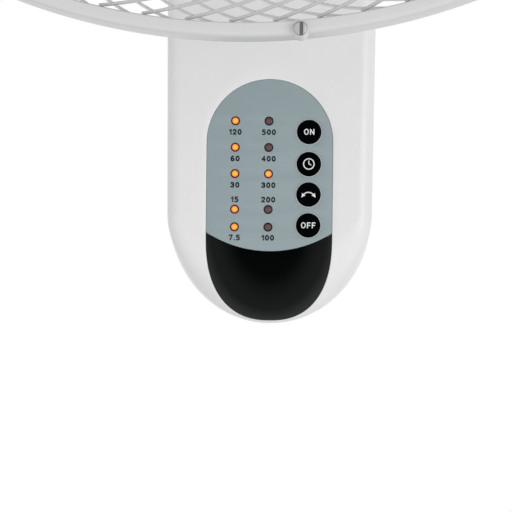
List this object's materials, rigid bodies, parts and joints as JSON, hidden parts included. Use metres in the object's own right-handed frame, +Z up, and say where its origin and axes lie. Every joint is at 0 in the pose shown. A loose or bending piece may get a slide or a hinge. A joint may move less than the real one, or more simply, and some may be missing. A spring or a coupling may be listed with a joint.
{
  "type": "wall mounted fan",
  "caption": "Wall mounted fan: upright white control housing with an indicator and key panel, tilting neck, swinging motor head and a round guard of spiral wires.",
  "frame": {"origin": "centre of the back face of the wall bracket, on the wall plane", "axes": "+X to the right seen from the front, +Y into the wall (the fan blows towards -Y), +Z up"},
  "size_m": [0.4441, 0.329, 0.5491],
  "materials": {
    "white_plastic": "smooth",
    "guard_white": "smooth",
    "fascia_grey": "satin",
    "black_lens": "polished",
    "black_key": "polished",
    "circuit_board": "satin",
    "dark_plastic": "satin",
    "led_amber": "polished",
    "led_unlit": "polished",
    "steel": "brushed",
    "cast_alloy": "cast",
    "copper_winding": "smooth",
    "brass": "smooth",
    "blade_white": "smooth"
  },
  "bodies": {
    "root": {"wall_bracket": "steel", "rear_cover": "white_plastic", "front_cover": "white_plastic", "fascia_panel": "fascia_grey", "remote_lens": "black_lens", "control_board": "circuit_board", "remote_receiver": "dark_plastic", "power_board": "circuit_board", "motor_capacitor": "dark_plastic", "cord_inlet": "dark_plastic", "led_left_1": "led_amber", "led_left_2": "led_amber", "led_left_3": "led_amber", "led_left_4": "led_amber", "led_left_5": "led_amber", "led_right_1": "led_unlit", "led_right_2": "led_unlit", "led_right_3": "led_amber", "led_right_4": "led_unlit", "led_right_5": "led_unlit", "housing_screw_1": "steel", "housing_screw_2": "steel", "housing_screw_3": "steel", "housing_screw_4": "steel", "neck_screw_1": "steel", "neck_screw_2": "steel", "neck_base": "cast_alloy", "tilt_bolt": "steel", "tilt_nut": "steel"},
    "neck": {"neck": "white_plastic", "pivot_pin": "steel", "sector_gear": "brass"},
    "head": {"gear_housing": "cast_alloy", "swing_motor": "steel", "rear_bell": "cast_alloy", "front_bell": "cast_alloy", "stator": "copper_winding", "rear_bush": "brass", "front_bush": "brass", "motor_cover": "white_plastic", "cover_screw": "steel", "rear_guard": "guard_white", "guard_nut": "white_plastic", "front_guard": "guard_white", "guard_ring": "guard_white", "ring_screw": "steel", "centre_cap": "white_plastic"},
    "pinion": {"swing_pinion": "brass"},
    "impeller": {"rotor": "steel", "impeller": "blade_white", "spinner_nut": "white_plastic"},
    "power_key": {"power_key": "black_key"},
    "timer_key": {"timer_key": "black_key"},
    "swing_key": {"swing_key": "black_key"},
    "off_key": {"off_key": "black_key"}
  },
  "joints": [
    {"name": "head_tilt", "type": "hinge", "parent": "root", "child": "neck", "pos_m": [0, -0.052, 0.109], "axis": [1, 0, 0], "range_deg": [-12, 18]},
    {"name": "head_swing", "type": "hinge", "parent": "neck", "child": "head", "pos_m": [0, -0.11243, 0.18827], "axis": [0, 0.0523, 0.9986], "range_deg": [-43.7, 46.3]},
    {"name": "pinion_spin", "type": "hinge", "parent": "head", "child": "pinion", "pos_m": [0.00092, -0.07399, 0.14821], "axis": [0, 0.0523, 0.9986], "range_deg": [-155, 164]},
    {"name": "impeller_spin", "type": "hinge", "parent": "head", "child": "impeller", "pos_m": [-0.00333, -0.2592, 0.19596], "axis": [-0.0227, -0.9984, 0.0523], "continuous": true},
    {"name": "power_key_press", "type": "slide", "parent": "root", "child": "power_key", "axis": [0, 1, 0], "range_m": [0, 0.0008], "stiffness_N_per_m": 350, "springref_m": -0.0004},
    {"name": "timer_key_press", "type": "slide", "parent": "root", "child": "timer_key", "axis": [0, 1, 0], "range_m": [0, 0.0008], "stiffness_N_per_m": 350, "springref_m": -0.0004},
    {"name": "swing_key_press", "type": "slide", "parent": "root", "child": "swing_key", "axis": [0, 1, 0], "range_m": [0, 0.0008], "stiffness_N_per_m": 350, "springref_m": -0.0004},
    {"name": "off_key_press", "type": "slide", "parent": "root", "child": "off_key", "axis": [0, 1, 0], "range_m": [0, 0.0008], "stiffness_N_per_m": 350, "springref_m": -0.0004}
  ],
  "couplings": [
    {"joint": "pinion_spin", "follows": "head_swing", "ratio": 3.5}
  ]
}
